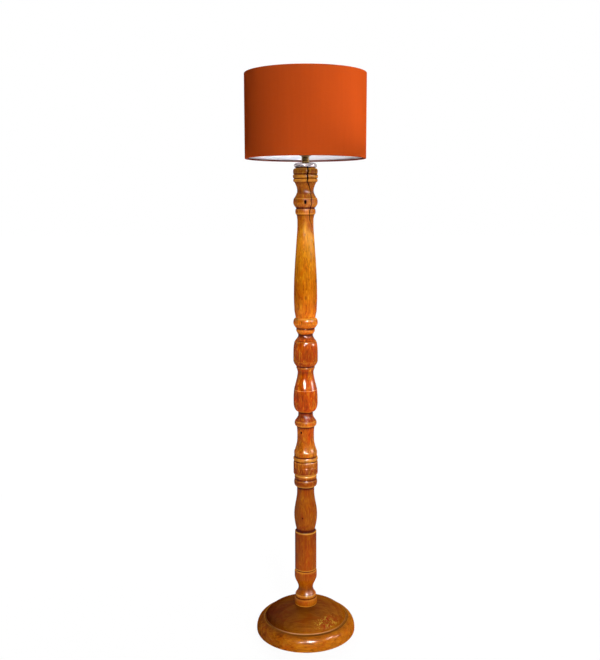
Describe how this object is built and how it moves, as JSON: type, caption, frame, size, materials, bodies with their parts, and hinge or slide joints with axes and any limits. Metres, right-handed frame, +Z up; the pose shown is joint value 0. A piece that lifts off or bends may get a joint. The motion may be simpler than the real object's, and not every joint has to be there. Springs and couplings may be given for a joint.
{
  "type": "candlestick floor lamp",
  "caption": "Turned wooden candlestick floor lamp on a round domed base, with a polished vase cap and a drum shade on a spoked fitter",
  "frame": {"origin": "on the floor under the column's axis, at the middle of the felt pad's lower face", "axes": "+Z up along the column, -Y towards the viewer, +Y towards the cord outlet at the back, X along the push bar of the switch"},
  "size_m": [0.305, 0.305, 1.4686],
  "materials": {
    "base_wood": "dark reddish-brown gloss varnish",
    "column_wood": "amber gloss varnish, darker in the cuts",
    "cap_metal": "polished",
    "brass": "aged",
    "steel": "zinc plated",
    "felt": "felt",
    "shade_fabric": "burnt orange, smooth and matte",
    "shade_liner": "white styrene",
    "white_wire": "white powder coat",
    "core": "moulded insulator",
    "black_plastic": "moulded",
    "grommet": "soft, matte",
    "bulb_metal": "bright",
    "bulb_glass": "frosted white"
  },
  "bodies": {
    "stand": {"felt_pad": "felt", "base": "base_wood", "cord_grommet": "grommet", "base_washer": "steel", "base_nut": "steel", "bottom_length": "column_wood", "middle_length": "column_wood", "top_length": "column_wood", "bottom_tube": "steel", "middle_tube": "steel", "top_tube": "steel", "lower_coupling": "steel", "upper_coupling": "steel", "cap_washer": "steel", "vase_cap": "cap_metal", "brass_neck": "brass", "holder_cup": "brass", "holder_shell": "brass", "insulator": "core", "screw_shell": "brass", "centre_contact": "brass"},
    "switch": {"switch_bar": "black_plastic"},
    "retainer": {"shade_retainer": "brass"},
    "bulb": {"bulb_cap": "bulb_metal", "bulb_tip": "bulb_metal", "bulb_glass": "bulb_glass"},
    "shade": {"shade_cover": "shade_fabric", "shade_liner": "shade_liner", "top_wire_ring": "white_wire", "bottom_fitter": "white_wire"}
  },
  "joints": [
    {"name": "shade_turn", "type": "hinge", "parent": "stand", "child": "shade", "pos_m": [0, 0, 1.3], "axis": [0, 0, 1], "continuous": true},
    {"name": "retainer_turn", "type": "hinge", "parent": "stand", "child": "retainer", "pos_m": [0, 0, 1.308], "axis": [0, 0, 1], "continuous": true},
    {"name": "bulb_turn", "type": "hinge", "parent": "stand", "child": "bulb", "pos_m": [0, 0, 1.32], "axis": [0, 0, 1], "continuous": true},
    {"name": "switch_push", "type": "slide", "parent": "stand", "child": "switch", "axis": [1, 0, 0], "range_m": [0, 0.005]}
  ]
}
